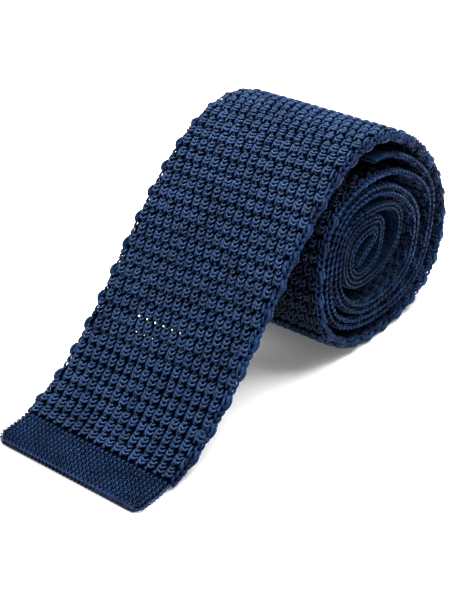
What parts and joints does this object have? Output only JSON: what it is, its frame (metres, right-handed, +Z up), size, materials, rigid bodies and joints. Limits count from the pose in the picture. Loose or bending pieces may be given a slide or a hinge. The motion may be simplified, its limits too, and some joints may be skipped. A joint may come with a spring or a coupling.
{
  "type": "knit tie",
  "caption": "Coarse-knit necktie, folded at the neck and rolled up, its wide end running down as a ramp to a flat plain-knit hem; worn round the collar.",
  "frame": {"origin": "middle of the footprint of the rolled tie, on the surface that it lies on", "axes": "+X from the hem towards the roll, +Y across the width of the cloth, +Z up"},
  "size_m": [0.1526, 0.0576, 0.071],
  "materials": {
    "coarse_knit": "navy silk-like yarn in a coarse tuck knit with open pores and a soft sheen",
    "plain_knit": "the same navy yarn in a fine plain knit"
  },
  "bodies": {
    "root": {"end_band": "plain_knit", "blade": "coarse_knit", "neck_band": "plain_knit", "tail": "coarse_knit", "tail_end_band": "plain_knit"}
  },
  "joints": []
}
